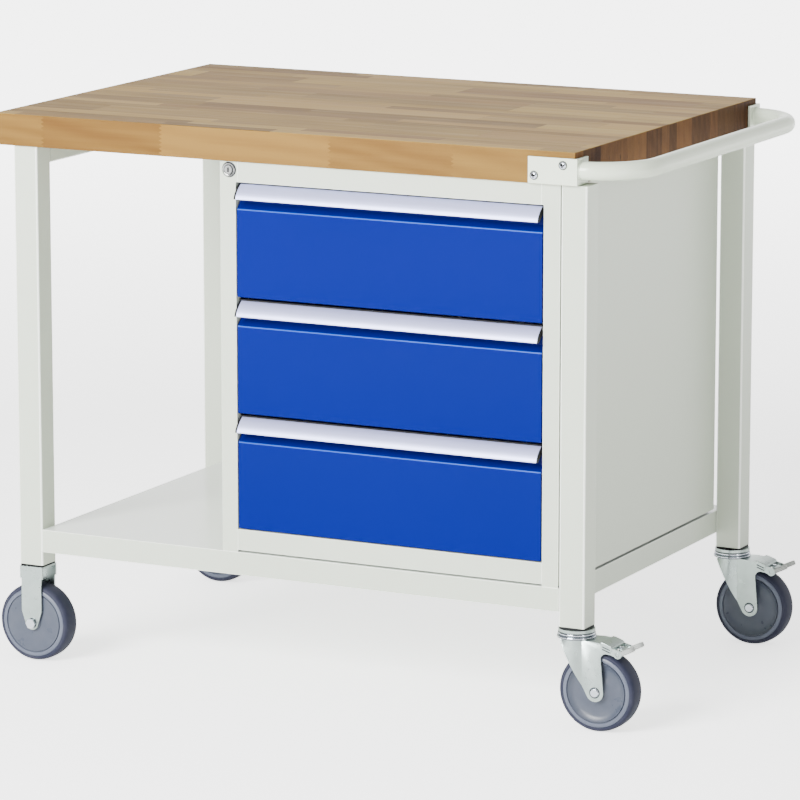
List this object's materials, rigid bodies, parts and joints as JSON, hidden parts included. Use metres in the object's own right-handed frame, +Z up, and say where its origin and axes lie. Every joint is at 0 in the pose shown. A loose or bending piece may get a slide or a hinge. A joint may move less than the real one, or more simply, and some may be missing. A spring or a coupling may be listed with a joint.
{
  "type": "mobile workbench with drawers",
  "caption": "Mobile workbench: thick beech top on a square-tube steel frame, shelf tray, lockable drawer cabinet, push handle, fixed and braked swivel castors.",
  "frame": {"origin": "centre of the bounding box at floor level, under the wheels", "axes": "+X along the length towards the push handle, +Y from the drawer fronts to the back, +Z up"},
  "size_m": [1.1104, 0.7154, 0.88],
  "materials": {
    "beech": "oiled solid beech, finger-jointed staves",
    "frame_paint": "light grey powder coat",
    "front_paint": "gentian blue powder coat, semi-gloss",
    "grip_aluminium": "brushed and anodised",
    "zinc_plate": "bright zinc plate",
    "lock_nickel": "nickel plate",
    "black_plastic": "moulded black plastic",
    "pedal_plastic": "light grey coating",
    "wheel_plastic": "moulded grey plastic",
    "tyre_rubber": "dark blue-grey soft rubber"
  },
  "bodies": {
    "frame": {"worktop": "beech", "leg_front_left": "frame_paint", "leg_front_right": "frame_paint", "leg_rear_left": "frame_paint", "leg_rear_right": "frame_paint", "leg_caps": "black_plastic", "top_rail_left": "frame_paint", "top_rail_rear": "frame_paint", "shelf_tray": "frame_paint", "cabinet_side_left": "frame_paint", "cabinet_side_right": "frame_paint", "cabinet_top_rail": "frame_paint", "cabinet_bottom_rail": "frame_paint", "cabinet_back": "frame_paint", "runner_posts": "zinc_plate", "runner_outer_members": "zinc_plate", "lock_housing": "lock_nickel", "handle_brackets": "frame_paint", "bracket_screws": "zinc_plate", "handle_tube": "frame_paint", "fixed_fork_front": "zinc_plate", "fixed_fork_rear": "zinc_plate", "fixed_axles": "zinc_plate", "swivel_head_front": "zinc_plate", "swivel_head_rear": "zinc_plate"},
    "drawer_1": {"drawer_front_1": "front_paint", "drawer_box_1": "frame_paint", "drawer_grip_1": "grip_aluminium", "grip_caps_1": "black_plastic", "runner_inner_1": "zinc_plate"},
    "runner_1": {"runner_middle_1": "zinc_plate"},
    "drawer_2": {"drawer_front_2": "front_paint", "drawer_box_2": "frame_paint", "drawer_grip_2": "grip_aluminium", "grip_caps_2": "black_plastic", "runner_inner_2": "zinc_plate"},
    "runner_2": {"runner_middle_2": "zinc_plate"},
    "drawer_3": {"drawer_front_3": "front_paint", "drawer_box_3": "frame_paint", "drawer_grip_3": "grip_aluminium", "grip_caps_3": "black_plastic", "runner_inner_3": "zinc_plate"},
    "runner_3": {"runner_middle_3": "zinc_plate"},
    "lock_core": {"lock_core": "lock_nickel"},
    "lock_bar": {"lock_bar": "zinc_plate"},
    "wheel_fixed_front": {"rim_fixed_front": "wheel_plastic", "tyre_fixed_front": "tyre_rubber"},
    "swivel_front": {"swivel_fork_front": "zinc_plate", "swivel_axle_front": "zinc_plate"},
    "wheel_swivel_front": {"rim_swivel_front": "wheel_plastic", "tyre_swivel_front": "tyre_rubber"},
    "pedal_front": {"brake_pedal_front": "pedal_plastic"},
    "wheel_fixed_rear": {"rim_fixed_rear": "wheel_plastic", "tyre_fixed_rear": "tyre_rubber"},
    "swivel_rear": {"swivel_fork_rear": "zinc_plate", "swivel_axle_rear": "zinc_plate"},
    "wheel_swivel_rear": {"rim_swivel_rear": "wheel_plastic", "tyre_swivel_rear": "tyre_rubber"},
    "pedal_rear": {"brake_pedal_rear": "pedal_plastic"}
  },
  "joints": [
    {"name": "drawer_slide_1", "type": "slide", "parent": "frame", "child": "drawer_1", "axis": [0, -1, 0], "range_m": [0, 0.5]},
    {"name": "runner_slide_1", "type": "slide", "parent": "frame", "child": "runner_1", "axis": [0, -1, 0], "range_m": [0, 0.25]},
    {"name": "drawer_slide_2", "type": "slide", "parent": "frame", "child": "drawer_2", "axis": [0, -1, 0], "range_m": [0, 0.5]},
    {"name": "runner_slide_2", "type": "slide", "parent": "frame", "child": "runner_2", "axis": [0, -1, 0], "range_m": [0, 0.25]},
    {"name": "drawer_slide_3", "type": "slide", "parent": "frame", "child": "drawer_3", "axis": [0, -1, 0], "range_m": [0, 0.5]},
    {"name": "runner_slide_3", "type": "slide", "parent": "frame", "child": "runner_3", "axis": [0, -1, 0], "range_m": [0, 0.25]},
    {"name": "lock_turn", "type": "hinge", "parent": "frame", "child": "lock_core", "pos_m": [-0.12915, -0.34575, 0.8168], "axis": [0, 1, 0], "range_deg": [0, 90]},
    {"name": "lock_lift", "type": "slide", "parent": "frame", "child": "lock_bar", "axis": [0, 0, 1], "range_m": [0, 0.01132]},
    {"name": "wheel_spin_fixed_front", "type": "hinge", "parent": "frame", "child": "wheel_fixed_front", "pos_m": [-0.49275, -0.32475, 0.0625], "axis": [0, 1, 0], "continuous": true},
    {"name": "swivel_turn_front", "type": "hinge", "parent": "frame", "child": "swivel_front", "pos_m": [0.45125, -0.32475, 0.14], "axis": [0, 0, 1], "continuous": true},
    {"name": "wheel_spin_swivel_front", "type": "hinge", "parent": "swivel_front", "child": "wheel_swivel_front", "pos_m": [0.49125, -0.32475, 0.0625], "axis": [0, 1, 0], "continuous": true},
    {"name": "pedal_press_front", "type": "hinge", "parent": "swivel_front", "child": "pedal_front", "pos_m": [0.52825, -0.32475, 0.1255], "axis": [0, 1, 0], "range_deg": [0, 18]},
    {"name": "wheel_spin_fixed_rear", "type": "hinge", "parent": "frame", "child": "wheel_fixed_rear", "pos_m": [-0.49275, 0.28325, 0.0625], "axis": [0, 1, 0], "continuous": true},
    {"name": "swivel_turn_rear", "type": "hinge", "parent": "frame", "child": "swivel_rear", "pos_m": [0.45125, 0.28325, 0.14], "axis": [0, 0, 1], "continuous": true},
    {"name": "wheel_spin_swivel_rear", "type": "hinge", "parent": "swivel_rear", "child": "wheel_swivel_rear", "pos_m": [0.49125, 0.28325, 0.0625], "axis": [0, 1, 0], "continuous": true},
    {"name": "pedal_press_rear", "type": "hinge", "parent": "swivel_rear", "child": "pedal_rear", "pos_m": [0.52825, 0.28325, 0.1255], "axis": [0, 1, 0], "range_deg": [0, 18]}
  ],
  "couplings": [
    {"joint": "runner_slide_1", "follows": "drawer_slide_1", "ratio": 0.5},
    {"joint": "runner_slide_2", "follows": "drawer_slide_2", "ratio": 0.5},
    {"joint": "runner_slide_3", "follows": "drawer_slide_3", "ratio": 0.5},
    {"joint": "lock_lift", "follows": "lock_turn", "m_per_rad": 0.0072025}
  ]
}
